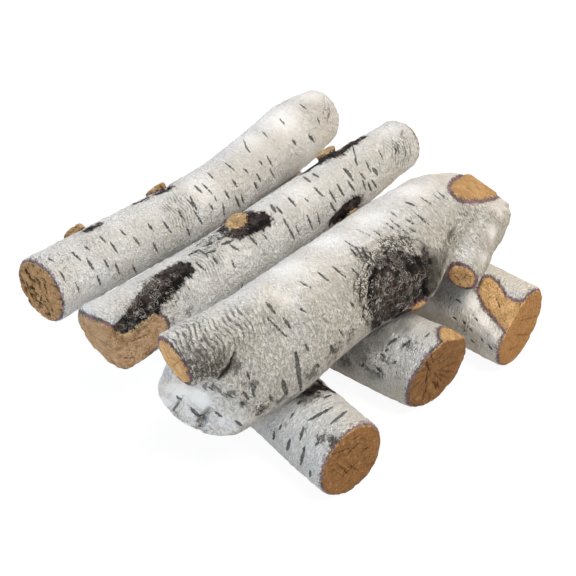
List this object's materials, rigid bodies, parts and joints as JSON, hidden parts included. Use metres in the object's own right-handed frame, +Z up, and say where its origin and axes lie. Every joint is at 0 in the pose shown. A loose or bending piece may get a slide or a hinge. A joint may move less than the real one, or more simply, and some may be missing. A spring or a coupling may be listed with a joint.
{
  "type": "gas log set",
  "caption": "Stacked birch-look ceramic logs for a gas fire: base logs front to back, longer logs across, one forked with a burl.",
  "frame": {"origin": "on the hearth, under the middle of the stack's box", "axes": "+X along the top logs, +Y from the front of the hearth to its back, +Z up"},
  "size_m": [0.4184, 0.344, 0.1671],
  "materials": {
    "base_bark": "matt painted birch bark, sawn faces tan",
    "top_bark": "matt painted birch bark, sawn faces tan"
  },
  "bodies": {
    "centre_base": {"centre_base_log": "base_bark"},
    "left_base": {"left_base_log": "base_bark"},
    "right_base": {"right_base_log": "base_bark"},
    "front": {"front_forked_log": "top_bark"},
    "middle": {"middle_log": "top_bark"},
    "rear": {"rear_log": "top_bark"}
  },
  "joints": [
    {"name": "left_base_draw", "type": "slide", "parent": "centre_base", "child": "left_base", "axis": [-0.2079, -0.9781, 0], "range_m": [0, 0.24]},
    {"name": "right_base_draw", "type": "slide", "parent": "centre_base", "child": "right_base", "axis": [-0.0872, -0.9962, 0], "range_m": [0, 0.33]},
    {"name": "front_lift", "type": "slide", "parent": "centre_base", "child": "front", "axis": [0, 0, 1], "range_m": [0, 0.15]},
    {"name": "middle_lift", "type": "slide", "parent": "centre_base", "child": "middle", "axis": [0, 0, 1], "range_m": [0, 0.15]},
    {"name": "rear_lift", "type": "slide", "parent": "centre_base", "child": "rear", "axis": [0, 0, 1], "range_m": [0, 0.15]}
  ]
}
